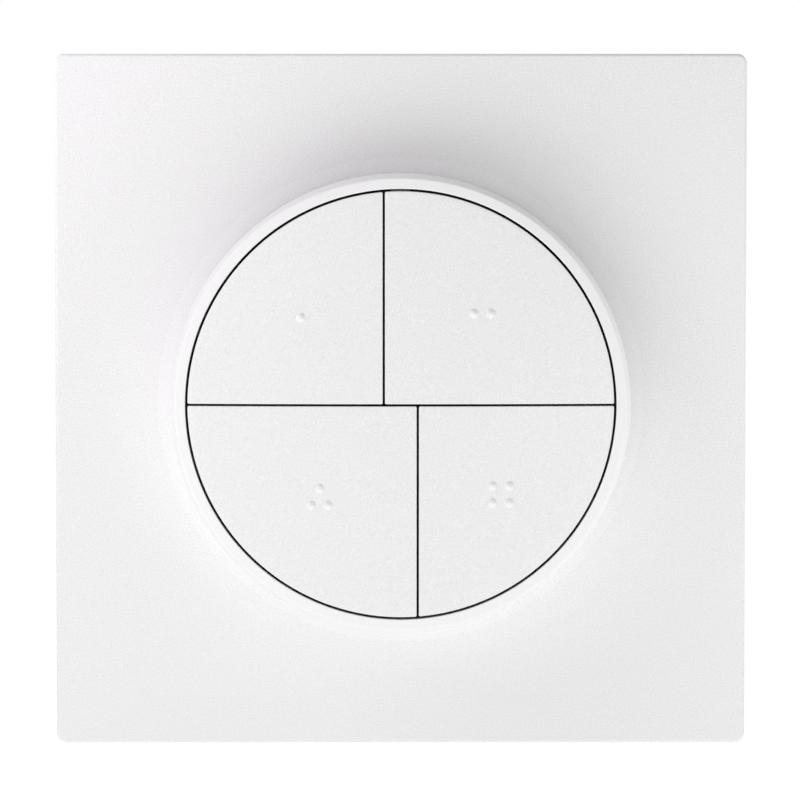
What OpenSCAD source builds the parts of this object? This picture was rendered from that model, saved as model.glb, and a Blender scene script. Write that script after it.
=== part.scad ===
// Wireless wall switch: a square wall plate that holds a round magnetic puck with four push buttons.
// Each sub-part is drawn on the bench, x to the right, y up and z off the wall, and is then stood on
// the wall: the wall is the plane y = 0, the buttons face -Y and +Z is up. All sizes are millimetres.

/* [Cover frame] */
// Width and height of the square cover frame
plate_w = 86; // [80:0.5:100]
// Depth of the cover frame, from its rear edge to its front face
plate_depth = 6.2; // [5.8:0.1:9]
// Radius of the cover frame's four corners
plate_corner_r = 1.2; // [0.6:0.1:6]
// Rounding of the cover frame's front edges
plate_edge_r = 0.4; // [0.1:0.05:0.6]
// Thickness of the front panel
panel_t = 2; // [1.4:0.1:2.4]
// Thickness of the side walls
skirt_t = 2; // [1.2:0.1:3]
// Thickness of the collar behind the round opening
collar_t = 1.5; // [1:0.1:2.5]
// Thickness of the stiffening ribs behind the panel
rib_t = 1.2; // [0.8:0.1:2]
// Distance from the plate's edges to the frame screws
frame_screw_inset = 9.5; // [7.5:0.1:11]
// Radius of the screw bosses behind the panel
frame_boss_r = 3; // [2.2:0.1:4]

/* [Back plate and adhesive] */
// Thickness of the adhesive foam sheet
tape_t = 0.8; // [0.4:0.1:2]
// Margin between the sheet and the back plate's edge
tape_margin = 3; // [1:0.5:6]
// Radius of the sheet's corner cut-outs round the frame screws
tape_cut_r = 7; // [5:0.5:12]
// Thickness of the back plate
back_t = 2; // [1.6:0.1:3]
// Radius of the back plate's corners
back_corner_r = 1.5; // [0.5:0.1:5]
// Radius of the two wall screw holes
wall_hole_r = 2.2; // [1.6:0.05:2.6]
// Distance between the two wall screw holes
wall_hole_spacing = 40; // [34:0.5:42]
// Radius of the wall screws' countersink at the dock's floor
wall_head_r = 4.2; // [3.2:0.1:5]
// Radius of the pegs that locate the dock
peg_r = 0.8; // [0.5:0.05:1]
// Height of the pegs
peg_h = 1; // [0.5:0.1:1.1]

/* [Dock] */
// Width of the dock's smooth rim that shows round the puck
rim_show_w = 2.05; // [1:0.05:4]
// Thickness of the dock's floor and of its clamping flange
dock_floor_t = 1.2; // [1:0.1:2]
// Thickness of the dock's wall
dock_wall_t = 1.5; // [1:0.1:2.4]
// Thickness of the rim's lip
dock_lip_t = 1.5; // [0.8:0.1:2]
// Width of the clamping flange outside the rim
dock_flange_w = 2.7; // [2:0.1:4]
// Thickness of the steel disc
steel_t = 0.7; // [0.4:0.1:1.2]
// Ring of dock floor that the steel disc leaves bare
steel_margin = 2; // [0.5:0.1:4]
// Width of the rib that keys the puck upright
key_w = 3; // [2:0.1:5]
// How far the key rib stands out of the dock's wall
key_depth = 1; // [0.6:0.05:1.2]

/* [Puck housing] */
// Radius of the puck
puck_r = 28.25; // [26:0.05:34]
// Width of the bezel round the buttons
bezel_w = 1.8; // [1.2:0.05:3]
// Rounding of the bezel's outer edge
bezel_edge_r = 0.75; // [0.2:0.05:1]
// Width of the shoulder inside the shell that holds the key frame
shoulder_w = 0.4; // [0.2:0.05:0.8]
// Thickness of the rear cover's floor
rear_t = 1.4; // [1.2:0.1:2.4]
// Rounding of the rear cover's outer edge
rear_edge_r = 0.4; // [0.1:0.05:0.8]
// Width of the rear cover's step that the shell stands on
rear_step_w = 0.55; // [0.3:0.05:0.8]
// Thickness of the rear cover's spigot wall
spigot_t = 1.2; // [0.8:0.1:2]
// Width of the rib in the shell that keys the key frame
shell_key_w = 2.4; // [1.5:0.1:4]
// How far the shell's key rib stands inwards
shell_key_d = 0.9; // [0.5:0.1:1.5]
// Thickness of the key frame
key_frame_t = 1.2; // [1:0.1:2]
// Distance from the puck's edge to its screws
puck_screw_inset = 5.05; // [4.6:0.05:6]
// Radius of the rear cover's screw bosses
rear_boss_r = 3; // [2.7:0.1:3.5]
// Radius of the key frame's screw bosses
key_boss_r = 2.2; // [1.7:0.1:2.5]

/* [Buttons] */
// Thickness of the button caps at their outer edge
cap_t = 1.8; // [1.4:0.1:3]
// Depth of the hollow under each cap
cap_hollow = 0.5; // [0.2:0.1:0.8]
// Thickness of the wall round that hollow
cap_wall_t = 1.2; // [0.8:0.1:2]
// Rise of the domed front from the caps' outer edge to the middle
dome_rise = 1.1; // [0.4:0.1:2]
// Gap between neighbouring caps
cap_gap = 0.26; // [0.16:0.02:0.6]
// Gap between the caps and the bezel
bezel_gap = 0.3; // [0.2:0.02:0.6]
// Offset of the vertical dividers, left above the middle and right below it
divider_offset = 2.08; // [0:0.02:4]
// Travel of the buttons
press_travel = 0.5; // [0.2:0.05:0.8]
// Radius of a tactile dot
dot_r = 0.56; // [0.3:0.02:0.9]
// Height of a tactile dot
dot_h = 0.28; // [0.1:0.02:0.4]
// Spacing of the tactile dots
dot_pitch = 2.07; // [1.8:0.01:3]
// Radius of the posts that guide the caps and push the switches
post_r = 2; // [1.2:0.1:2.6]
// Distance from a cap's post to its hooks
hook_span = 7; // [5:0.1:7.5]
// Width of a hook
hook_w = 3; // [2:0.1:4]
// Thickness of a hook's leg
hook_t = 1; // [0.8:0.05:1.4]
// How far a hook's barb stands out
hook_barb = 0.5; // [0.3:0.05:0.8]
// Height of a hook's barb
hook_barb_h = 1.1; // [0.6:0.1:1.2]

/* [Battery] */
// Radius of the coin cell
cell_r = 12.25; // [8:0.05:12.3]
// Thickness of the coin cell
cell_t = 3; // [2.5:0.1:5]
// Height of the cell's negative button
cell_button_h = 0.35; // [0.2:0.05:0.5]
// Width of the crimped ring round the negative button
cell_crimp_w = 1.7; // [1:0.1:3]
// Rounding of the cell's rear edge
cell_edge_r = 0.4; // [0.1:0.05:0.6]
// Thickness of the contact strips
contact_t = 0.2; // [0.15:0.05:0.25]
// Width of the contact strips
contact_w = 4; // [2:0.5:6]
// Length of the positive contact's pad
contact_pad = 3; // [2:0.5:4]
// How far the positive contact leans in to the cell
contact_lean = 0.9; // [0.5:0.1:1.5]
// Half length of the negative contact
contact_reach = 8; // [5:0.5:10]
// Thickness of the tray wall round the cell
tray_wall_t = 0.85; // [0.6:0.05:1]
// Height of the tray wall
tray_h = 1.7; // [1.2:0.1:2]
// Ledge of the door's disc outside the tray
door_ledge = 1; // [0.6:0.05:1.5]
// How far the bayonet lugs reach past the door's disc
lug_reach = 1.3; // [0.8:0.05:1.5]
// Thickness of the bayonet lugs
lug_t = 0.8; // [0.6:0.05:1]
// Width of a bayonet lug, in degrees
lug_angle = 24; // [16:1:28]
// Turn of the door from closed to open, in degrees
door_turn = 40; // [34:1:50]
// Thickness of the stop walls between the lugs
stop_t = 1; // [0.8:0.05:1.1]
// Length of the coin slot
coin_slot_l = 15; // [10:0.5:18]
// Width of the coin slot
coin_slot_w = 2; // [1.5:0.1:3]
// Depth of the coin slot
coin_slot_d = 0.8; // [0.4:0.1:0.9]
// Radius of the dimples that mark the door's open and closed places
mark_r = 0.6; // [0.4:0.05:0.8]

/* [Magnets] */
// Radius of a magnet
magnet_r = 3.5; // [2.5:0.1:3.8]
// Thickness of a magnet
magnet_t = 2; // [1:0.1:2.5]
// Distance from the puck's edge to the magnets' centres
magnet_inset = 7.85; // [7:0.05:8.5]
// Angle of the magnets above and below the row of wall screws, in degrees
magnet_angle = 28; // [25:1:30]
// Thickness of the rear cover left behind each magnet
magnet_skin = 0.5; // [0.3:0.05:1]
// Thickness of the ring wall round each magnet
magnet_wall_t = 0.9; // [0.6:0.1:1.4]

/* [Electronics] */
// Thickness of the circuit board
board_t = 1; // [0.8:0.1:1.6]
// Width of a switch body
switch_w = 6; // [4:0.1:6.4]
// Height of a switch body
switch_h = 1.4; // [1.2:0.1:2]
// Thickness of a switch's steel cover
switch_cover_t = 0.2; // [0.1:0.05:0.3]
// Margin of the steel cover inside the switch body's edge
switch_cover_margin = 0.2; // [0.1:0.05:0.5]
// Floor of the well in a switch body
switch_floor_t = 0.25; // [0.15:0.05:0.3]
// Radius of a switch plunger
plunger_r = 1.5; // [0.9:0.1:1.8]
// How far a plunger stands out of its switch
plunger_h = 0.6; // [0.3:0.05:0.8]
// Width of the radio board
radio_w = 14; // [10:0.5:14]
// Length of the radio board
radio_l = 8; // [6:0.5:9]
// Thickness of the radio board
radio_t = 0.6; // [0.4:0.1:1]
// Distance from the circuit board's top edge to the radio board
radio_margin = 2; // [1.5:0.1:4]
// Width of the radio's shield
shield_w = 11; // [6:0.5:12]
// Length of the radio's shield
shield_l = 5; // [3:0.5:5]
// Height of the radio's shield
shield_h = 1.2; // [0.8:0.1:1.6]
// Length of the status light
led_l = 3; // [1.6:0.1:4]
// Width of the status light
led_w = 1.5; // [0.8:0.1:2]
// Height of the status light's body
led_h = 0.5; // [0.3:0.05:0.8]
// Number of small capacitors in the row at the board's bottom edge
smd_count = 5; // [1:2:7]
// Distance from the circuit board's bottom edge to that row
smd_margin = 5; // [4:0.1:8]
// Spacing of those capacitors
smd_pitch = 2.6; // [2:0.1:3]
// Length, width and height of one capacitor
smd_size = [1.6, 0.8, 0.8]; // [0.3:0.1:2]
// Length, width and height of the crystal
crystal_size = [3.2, 2.5, 0.7]; // [0.5:0.1:4]
// Length, width and height of the controller chip
chip_size = [5, 5, 0.8]; // [0.5:0.1:6]
// Gap between the parts in the board's middle column
column_gap = 2; // [1:0.1:2.5]

/* [Screws] */
// Radius of the screws' shanks
screw_r = 1; // [0.8:0.05:1.1]
// Radius of the frame screws' countersunk heads
frame_head_r = 2.1; // [1.8:0.05:2.4]
// How far the frame screws bite into the cover frame
frame_bite = 3; // [2:0.1:3.2]
// Radius of the puck screws' pan heads
puck_head_r = 1.9; // [1.6:0.05:2]
// Height of the puck screws' pan heads
puck_head_h = 1.2; // [0.8:0.1:1.3]
// How far the puck screws bite into the key frame
puck_bite = 1.9; // [1.2:0.1:2.2]
// Width of the cross recess in a screw's head
cross_w = 0.5; // [0.3:0.05:0.7]
// Length of the cross recess
cross_l = 2; // [1.4:0.1:2.4]
// Depth of the cross recess
cross_d = 0.6; // [0.3:0.05:0.8]

/* [Clearances] */
// Gap round parts that are fitted for good
fit_gap = 0.02; // [0.01:0.01:0.1]
// Gap round screws, pegs, magnets and housing parts that slip together
slip_gap = 0.1; // [0.05:0.01:0.2]
// Seam left between parts that are closed on each other
seam_gap = 0.05; // [0.02:0.01:0.1]
// Gap round parts that slide or turn
slide_gap = 0.2; // [0.12:0.01:0.3]
// Gap between the puck and its dock
dock_gap = 0.3; // [0.2:0.05:0.5]
// Gap between the puck's shell and the dock's rim
seat_gap = 0.1; // [0.05:0.01:0.3]
// Gap between the puck's back and the steel disc
magnet_gap = 0.2; // [0.1:0.05:0.5]
// Play of the door's lugs between their stops, in degrees
stop_play = 5; // [2:1:8]
// Play of the door's lugs in the notches they leave by, in degrees
notch_play = 4; // [2:1:8]
// Room above the tallest part on the circuit board
board_room = 0.4; // [0.2:0.05:1]
// Room between the caps at full travel and the key frame
cap_room = 0.3; // [0.2:0.05:0.6]
// Room between the cell and the circuit board
contact_room = 0.5; // [0.4:0.05:0.8]

/* [Hidden] */
$fn = 96;
dome_fn = 256;
overrun = 1; // how far cuts run past a face
root_in = 0.4; // how far bosses, ribs and walls run into what they stand on

// Heights off the wall, stacked from the wall outwards
back_front = tape_t + back_t;
plate_front = tape_t + plate_depth;
panel_rear = plate_front - panel_t;
dock_floor = back_front + dock_floor_t;
steel_top = dock_floor + steel_t;
puck_rear = steel_top + magnet_gap;
rear_in = puck_rear + rear_t;
cell_rear = rear_in + slide_gap;
cell_front = cell_rear + cell_t;
board_rear = cell_front + contact_room;
board_front = board_rear + board_t;
switch_top = board_front + switch_h + switch_cover_t;
plunger_top = switch_top + plunger_h;
key_frame_rear = board_front + board_room + max(switch_h + switch_cover_t, radio_t + shield_h);
key_frame_front = key_frame_rear + key_frame_t;
cap_rear = key_frame_front + cap_room + press_travel;
bezel_front = cap_rear + cap_t;
dome_top = bezel_front + dome_rise;
shell_rear = plate_front + seat_gap;
step_front = shell_rear - seam_gap;
magnet_rear = puck_rear + magnet_skin;
lug_rear = rear_in + slide_gap;
tray_front = cell_rear + tray_h;
key_top = min(rear_in, step_front - 2 * dock_gap);
door_rear = puck_rear + seam_gap;
barb_front = key_frame_rear - seam_gap;

// Radii about the puck's axis
opening_r = puck_r - bezel_w;
cap_r = opening_r - bezel_gap;
dome_r = (cap_r * cap_r + dome_rise * dome_rise) / (2 * dome_rise);
shell_in_r = opening_r + shoulder_w;
spigot_r = shell_in_r - slip_gap;
spigot_in_r = spigot_r - spigot_t;
rear_r = spigot_r + rear_step_w;
board_r = spigot_r - slip_gap;
dock_bore_r = rear_r + dock_gap;
dock_rim_r = puck_r + rim_show_w;
flange_r = dock_rim_r + dock_flange_w;
peg_ring_r = dock_rim_r + dock_flange_w / 2;
collar_r = dock_rim_r + fit_gap + collar_t;
steel_r = dock_bore_r - steel_margin;
tray_in_r = cell_r + slide_gap;
tray_r = tray_in_r + tray_wall_t;
door_r = tray_r + door_ledge;
door_hole_r = door_r + slide_gap;
lug_r = door_r + lug_reach;
stop_in_r = door_hole_r + slide_gap;
magnet_ring_r = puck_r - magnet_inset;
screw_ring_r = puck_r - puck_screw_inset;
dot_sphere_r = (dot_r * dot_r + dot_h * dot_h) / (2 * dot_h);

// Places in the plane of the wall
back_w = plate_w - 2 * skirt_t - 2 * slide_gap;
tape_w = back_w - 2 * tape_margin;
frame_screw_xy = plate_w / 2 - frame_screw_inset;
wall_hole_x = wall_hole_spacing / 2;
radio_y = board_r - radio_margin - radio_l / 2;
shield_y = radio_y - (radio_l - shield_l) / 2 + slip_gap;
smd_y = smd_margin - board_r;
crystal_y = led_w / 2 + column_gap + crystal_size[1] / 2;
chip_y = -led_w / 2 - column_gap - chip_size[1] / 2;
screw_angles = [45, 135, 225, 315];
magnet_angles = [magnet_angle, 180 - magnet_angle, 180 + magnet_angle, 360 - magnet_angle];
peg_angles = [0, 180];
rib_angles = [0, 90, 180, 270];
lug_angles = [90, 210, 330];
lug_step = 360 / len(lug_angles);
stop_angle = lug_step - lug_angle - door_turn - stop_play;
caps = [1, 2, 3, 4];

// A cap's side of the middle, +1 right and up, -1 left and down
function side_x(n) = n % 2 == 0 ? 1 : -1;
function side_y(n) = n <= 2 ? 1 : -1;
// Where a cap's straight edges lie, measured outwards from the middle
function edge_x(n) = cap_gap / 2 - side_x(n) * side_y(n) * divider_offset;
edge_y = cap_gap / 2;
// Middle of area of a cap's outline, where its post, switch and dots are
cap_end = sqrt(cap_r * cap_r - edge_y * edge_y);
function half_chord(u) = sqrt(max(0, cap_r * cap_r - u * u));
function area_to(u) = (u * half_chord(u) + cap_r * cap_r * asin(u / cap_r) * PI / 180) / 2 - edge_y * u;
function moment_x_to(u) = -pow(half_chord(u), 3) / 3 - edge_y * u * u / 2;
function moment_y_to(u) = ((cap_r * cap_r - edge_y * edge_y) * u - u * u * u / 3) / 2;
function cap_area(n) = area_to(cap_end) - area_to(edge_x(n));
function mid_x(n) = (moment_x_to(cap_end) - moment_x_to(edge_x(n))) / cap_area(n);
function mid_y(n) = (moment_y_to(cap_end) - moment_y_to(edge_x(n))) / cap_area(n);
function cap_xy(n) = [side_x(n) * mid_x(n), side_y(n) * mid_y(n)];
// Height of the domed front at a point
function dome_z(p) = dome_top - dome_r + sqrt(dome_r * dome_r - p[0] * p[0] - p[1] * p[1]);
// Dots of a cap in steps of the dot spacing: single, pair, triangle and square
dot_steps = [
    [[0, 0]],
    [[-0.5, 0], [0.5, 0]],
    [[0, 0.5], [-0.5, -0.5], [0.5, -0.5]],
    [[-0.5, 0.5], [0.5, 0.5], [-0.5, -0.5], [0.5, -0.5]]
];

// Stands a sub-part drawn on the bench against the wall
module on_wall() rotate([90, 0, 0]) children();
// Makes a flat shape a layer between two heights
module layer(z0, z1) translate([0, 0, z0]) linear_extrude(z1 - z0) children();
module disc(r, z0, z1) translate([0, 0, z0]) cylinder(r = r, h = z1 - z0);
module polar(r, angles) for (a = angles) rotate(a) translate([r, 0, 0]) children();
module four_corners(d) for (x = [-d, d], y = [-d, d]) translate([x, y, 0]) children();
module wall_hole_places() for (x = [-wall_hole_x, wall_hole_x]) translate([x, 0, 0]) children();
module at_cap(n) translate([cap_xy(n)[0], cap_xy(n)[1], 0]) children();
module ring(r, r_in) difference() { circle(r); circle(r_in); }
module box(size) square([size[0], size[1]], center = true);

module rounded_square(w, r) {
    square([w - 2 * r, w], center = true);
    square([w, w - 2 * r], center = true);
    four_corners(w / 2 - r) circle(r);
}

// A pie slice that reaches past radius r, centred on the x axis
module slice(r, angle) polygon([
    [0, 0], 2 * r * [cos(angle / 2), -sin(angle / 2)], 2 * r * [cos(angle / 2), sin(angle / 2)]
]);

// A bar as wide as the plate, with its two front edges rounded
module rounded_bar() rotate([90, 0, 0]) translate([0, 0, -plate_w / 2]) linear_extrude(plate_w) {
    translate([-plate_w / 2, tape_t]) square([plate_w, plate_depth - plate_edge_r]);
    translate([plate_edge_r - plate_w / 2, tape_t]) square([plate_w - 2 * plate_edge_r, plate_depth]);
    for (x = [-1, 1]) translate([x * (plate_w / 2 - plate_edge_r), plate_front - plate_edge_r])
        circle(plate_edge_r);
}

module cross_recess(z) for (a = [0, 90]) rotate(a) layer(z - overrun, z + cross_d) box([cross_l, cross_w]);

// Wall screw hole with its countersink, cut through the dock's floor and the back plate
module wall_screw_hole() {
    sink = wall_head_r - wall_hole_r;
    disc(wall_hole_r, -overrun, dock_floor + overrun);
    translate([0, 0, dock_floor - sink])
        cylinder(r1 = wall_hole_r, r2 = wall_head_r + overrun, h = sink + overrun);
}

module adhesive_sheet() color("gainsboro") on_wall() layer(0, tape_t) difference() {
    square(tape_w, center = true);
    four_corners(frame_screw_xy) circle(tape_cut_r);
    wall_hole_places() circle(wall_head_r);
}

module back_plate() color("lightgray") on_wall() difference() {
    union() {
        layer(tape_t, back_front) rounded_square(back_w, back_corner_r);
        polar(peg_ring_r, peg_angles) disc(peg_r, back_front - root_in, back_front + peg_h);
    }
    wall_hole_places() wall_screw_hole();
    four_corners(frame_screw_xy) {
        disc(screw_r + slip_gap, 0, back_front + overrun);
        translate([0, 0, tape_t]) countersunk_head(2 * slip_gap, overrun);
    }
}

// Head of a frame screw or, with a gap and a run past the face, the seat for it
module countersunk_head(gap, run) translate([0, 0, -run])
    cylinder(r1 = frame_head_r + gap + run, r2 = screw_r + gap, h = frame_head_r - screw_r + run);

module frame_screws() color("silver") on_wall() four_corners(frame_screw_xy) difference() {
    union() {
        translate([0, 0, tape_t + slip_gap]) countersunk_head(0, 0);
        disc(screw_r, tape_t + slip_gap, back_front + frame_bite);
    }
    cross_recess(tape_t + slip_gap);
}

module cover_frame() color("whitesmoke") on_wall() difference() {
    union() {
        difference() {
            intersection() {
                rounded_bar();
                rotate(90) rounded_bar();
                layer(0, plate_front + overrun) rounded_square(plate_w, plate_corner_r);
            }
            layer(0, panel_rear) square(plate_w - 2 * skirt_t, center = true);
        }
        disc(collar_r, dock_floor + seam_gap, panel_rear + root_in);
        four_corners(frame_screw_xy) disc(frame_boss_r, back_front + seam_gap, panel_rear + root_in);
        rib_start = flange_r + slide_gap;
        rib_end = plate_w / 2 - skirt_t + root_in;
        polar(rib_start, rib_angles) translate([0, -rib_t / 2, back_front + seam_gap])
            cube([rib_end - rib_start, rib_t, panel_rear + root_in - back_front - seam_gap]);
    }
    disc(dock_rim_r + fit_gap, 0, plate_front + overrun);
    four_corners(frame_screw_xy) disc(screw_r + seam_gap, 0, back_front + frame_bite + slip_gap);
}

module dock() color("white") on_wall() difference() {
    union() {
        rotate_extrude() polygon([
            [0, back_front], [flange_r, back_front], [flange_r, dock_floor],
            [dock_bore_r + dock_wall_t, dock_floor],
            [dock_bore_r + dock_wall_t, plate_front - dock_lip_t],
            [dock_rim_r, plate_front - dock_lip_t], [dock_rim_r, plate_front],
            [dock_bore_r, plate_front], [dock_bore_r, dock_floor], [0, dock_floor]
        ]);
        rotate(-90) translate([dock_bore_r - key_depth, -key_w / 2, dock_floor - root_in])
            cube([key_depth + root_in, key_w, key_top - dock_floor + root_in]);
    }
    polar(peg_ring_r, peg_angles) disc(peg_r + slip_gap, 0, dock_floor + overrun);
    wall_hole_places() wall_screw_hole();
}

// Disc for the magnets, notched from its edge so that the wall screws' heads can pass
module steel_disc() color("lightslategray") on_wall() layer(dock_floor, steel_top) difference() {
    notch_r = wall_head_r + slide_gap;
    circle(steel_r);
    for (a = [0, 180]) rotate(a) translate([wall_hole_x, 0]) {
        circle(notch_r);
        translate([0, -notch_r]) square([steel_r, 2 * notch_r]);
    }
}

module rear_cover() color("white") on_wall() difference() {
    union() {
        rotate_extrude() rear_profile();
        layer(rear_in - root_in, board_rear) {
            ring(spigot_r, spigot_in_r);
            polar(screw_ring_r, screw_angles) circle(rear_boss_r);
        }
        polar(magnet_ring_r, magnet_angles)
            disc(magnet_r + slip_gap + magnet_wall_t, rear_in - root_in, magnet_rear + magnet_t);
        for (a = lug_angles) rotate(a + (lug_step - door_turn) / 2)
            layer(rear_in - root_in, lug_rear + lug_t) intersection() {
                ring(stop_in_r + stop_t, stop_in_r);
                slice(stop_in_r + stop_t, stop_angle);
            }
    }
    disc(door_hole_r, 0, rear_in + overrun);
    for (a = lug_angles) rotate(a - door_turn) layer(0, rear_in + overrun) intersection() {
        circle(lug_r + slide_gap);
        slice(lug_r, lug_angle + notch_play);
    }
    polar(magnet_ring_r, magnet_angles)
        disc(magnet_r + slip_gap, magnet_rear, magnet_rear + magnet_t + overrun);
    polar(screw_ring_r, screw_angles) {
        disc(screw_r + slip_gap, 0, board_rear + overrun);
        disc(puck_head_r + slip_gap, 0, puck_rear + puck_head_h + slide_gap);
    }
    rotate(-90) translate([dock_bore_r - key_depth - dock_gap, -key_w / 2 - dock_gap, 0])
        cube([key_depth + overrun, key_w + 2 * dock_gap, key_top + dock_gap]);
    for (a = [0, -door_turn]) rotate(lug_angles[0] + a) translate([lug_r + 2 * mark_r, 0, 0])
        disc(mark_r, 0, puck_rear + slide_gap);
}

// Half section of the rear cover's floor, with its rounded edge and the step for the shell
module rear_profile() difference() {
    union() {
        translate([0, puck_rear]) square([rear_r - rear_edge_r, step_front - puck_rear]);
        translate([0, puck_rear + rear_edge_r]) square([rear_r, step_front - puck_rear - rear_edge_r]);
        translate([rear_r - rear_edge_r, puck_rear + rear_edge_r]) circle(rear_edge_r);
    }
    translate([0, rear_in]) square([spigot_in_r + root_in, step_front - rear_in + overrun]);
}

module magnets() color("silver") on_wall()
    polar(magnet_ring_r, magnet_angles) disc(magnet_r, magnet_rear, magnet_rear + magnet_t);

module puck_screws() color("silver") on_wall() polar(screw_ring_r, screw_angles) difference() {
    union() {
        disc(puck_head_r, puck_rear + slide_gap, puck_rear + slide_gap + puck_head_h);
        disc(screw_r, puck_rear + slide_gap, board_front + puck_bite);
    }
    cross_recess(puck_rear + slide_gap);
}

module battery_door() color("white") on_wall() difference() {
    union() {
        disc(door_r, door_rear, rear_in);
        layer(rear_in - root_in, tray_front) ring(tray_r, tray_in_r);
        for (a = lug_angles) rotate(a) layer(lug_rear, lug_rear + lug_t) intersection() {
            ring(lug_r, tray_r - root_in);
            slice(lug_r, lug_angle);
        }
    }
    layer(door_rear - overrun, door_rear + coin_slot_d) {
        box([coin_slot_l - coin_slot_w, coin_slot_w]);
        for (x = [-1, 1]) translate([x * (coin_slot_l - coin_slot_w) / 2, 0]) circle(coin_slot_w / 2);
    }
    rotate(lug_angles[0]) translate([door_r - 2 * mark_r, 0, 0])
        disc(mark_r, door_rear - overrun, door_rear + slide_gap);
}

module coin_cell() color("silver") on_wall() rotate_extrude() {
    can_h = cell_t - cell_button_h;
    translate([0, cell_rear]) square([cell_r - cell_edge_r, can_h]);
    translate([0, cell_rear + cell_edge_r]) square([cell_r, can_h - cell_edge_r]);
    translate([cell_r - cell_edge_r, cell_rear + cell_edge_r]) circle(cell_edge_r);
    translate([0, cell_rear]) square([cell_r - cell_crimp_w, cell_t]);
}

// Spring strip from a pad on the board down to the side of the cell
module positive_contact() color("gold") on_wall() rotate([90, 0, 0])
    translate([0, 0, -contact_w / 2]) linear_extrude(contact_w) {
        touch_x = cell_r + seam_gap;
        touch_z = (tray_front + cell_front) / 2;
        tip_z = tray_front + slide_gap;
        bend_x = touch_x + contact_lean;
        tip_x = touch_x + contact_lean / 3;
        polygon([
            [bend_x, board_rear], [touch_x, touch_z], [tip_x, tip_z],
            [tip_x + contact_t, tip_z], [touch_x + contact_t, touch_z],
            [bend_x + contact_t, board_rear - contact_t],
            [bend_x + contact_pad, board_rear - contact_t], [bend_x + contact_pad, board_rear]
        ]);
    }

// Bowed strip between the board and the cell's negative button
module negative_contact() color("gold") on_wall() rotate([90, 0, 90])
    translate([0, 0, -contact_w / 2]) linear_extrude(contact_w) {
        touch_z = cell_front + seam_gap;
        foot = contact_reach / 2;
        polygon([
            [-contact_reach, board_rear], [-contact_reach, board_rear - contact_t],
            [-foot, board_rear - contact_t], [0, touch_z], [foot, board_rear - contact_t],
            [contact_reach, board_rear - contact_t], [contact_reach, board_rear],
            [foot, board_rear], [0, touch_z + contact_t], [-foot, board_rear]
        ]);
    }

module circuit_board() color("seagreen") on_wall() layer(board_rear, board_front) difference() {
    circle(board_r);
    polar(screw_ring_r, screw_angles) circle(screw_r + slip_gap);
}

module switch_body(n) color("dimgray") on_wall() at_cap(n) difference() {
    layer(board_front, board_front + switch_h) box([switch_w, switch_w]);
    disc(plunger_r + slide_gap, board_front + switch_floor_t, switch_top);
}

module switch_covers() color("silver") on_wall() for (n = caps) at_cap(n)
    layer(board_front + switch_h, switch_top) difference() {
        square(switch_w - 2 * switch_cover_margin, center = true);
        circle(plunger_r + slide_gap);
    }

module switch_plunger(n) color("black") on_wall() at_cap(n)
    disc(plunger_r, board_front + switch_floor_t + press_travel + slip_gap, plunger_top);

module radio_board() color("darkgreen") on_wall()
    translate([0, radio_y, 0]) layer(board_front, board_front + radio_t) box([radio_w, radio_l]);

module radio_shield() color("silver") on_wall() translate([0, shield_y, 0])
    layer(board_front + radio_t, board_front + radio_t + shield_h) box([shield_w, shield_l]);

module smd_parts() color("tan") on_wall() {
    for (i = [0 : smd_count - 1]) translate([(i - (smd_count - 1) / 2) * smd_pitch, smd_y, board_front])
        linear_extrude(smd_size[2]) box(smd_size);
    translate([0, crystal_y, board_front]) linear_extrude(crystal_size[2]) box(crystal_size);
    translate([0, chip_y, board_front]) linear_extrude(chip_size[2]) box(chip_size);
}

module status_led() color("white") on_wall() translate([0, 0, board_front]) {
    linear_extrude(led_h) box([led_l, led_w]);
    cylinder(r = led_w / 2 - slip_gap, h = led_h + slide_gap);
}

module key_frame() color("black") on_wall() difference() {
    union() {
        disc(spigot_r, key_frame_rear, key_frame_front);
        polar(screw_ring_r, screw_angles) disc(key_boss_r, board_front, key_frame_rear + root_in);
    }
    rotate(90) shell_key(slip_gap, overrun);
    polar(screw_ring_r, screw_angles) disc(screw_r + seam_gap, 0, board_front + puck_bite + slip_gap);
    for (n = caps) at_cap(n) {
        disc(post_r + slide_gap, 0, key_frame_front + overrun);
        for (x = [-hook_span, hook_span]) translate([x, 0, 0]) layer(0, key_frame_front + overrun)
            box([hook_t + 2 * slide_gap, hook_w + 2 * slide_gap]);
    }
}

// Rib in the shell that keys the key frame or, with a gap and a run past its ends, the slot for it
module shell_key(gap, run) {
    inner_x = shell_in_r - shell_key_d - gap;
    width = shell_key_w + 2 * gap;
    translate([inner_x, -width / 2, key_frame_rear - run])
        cube([shell_in_r + root_in - inner_x, width, key_frame_t + 2 * run]);
}

module front_shell() color("white") on_wall() {
    rotate_extrude() difference() {
        union() {
            height = bezel_front - shell_rear;
            translate([opening_r, shell_rear]) square([bezel_w, height - bezel_edge_r]);
            translate([opening_r, shell_rear]) square([bezel_w - bezel_edge_r, height]);
            translate([puck_r - bezel_edge_r, bezel_front - bezel_edge_r]) circle(bezel_edge_r);
        }
        translate([0, shell_rear - overrun]) square([shell_in_r, key_frame_front - shell_rear + overrun]);
    }
    rotate(90) shell_key(0, 0);
}

// Outline of a cap, drawn in by an inset
module cap_plan(n, inset) intersection() {
    circle(cap_r - inset);
    translate([side_x(n) * (edge_x(n) + inset + puck_r), side_y(n) * (edge_y + inset + puck_r)])
        square(2 * puck_r, center = true);
}

// Snap hook whose barb catches behind the key frame
module hook() rotate([90, 0, 0]) translate([0, 0, -hook_w / 2]) linear_extrude(hook_w) polygon([
    [-hook_t / 2, cap_rear + cap_hollow + root_in], [-hook_t / 2, barb_front - hook_barb_h],
    [hook_t / 2, barb_front - hook_barb_h], [hook_t / 2 + hook_barb, barb_front],
    [hook_t / 2, barb_front], [hook_t / 2, cap_rear + cap_hollow + root_in]
]);

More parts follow.
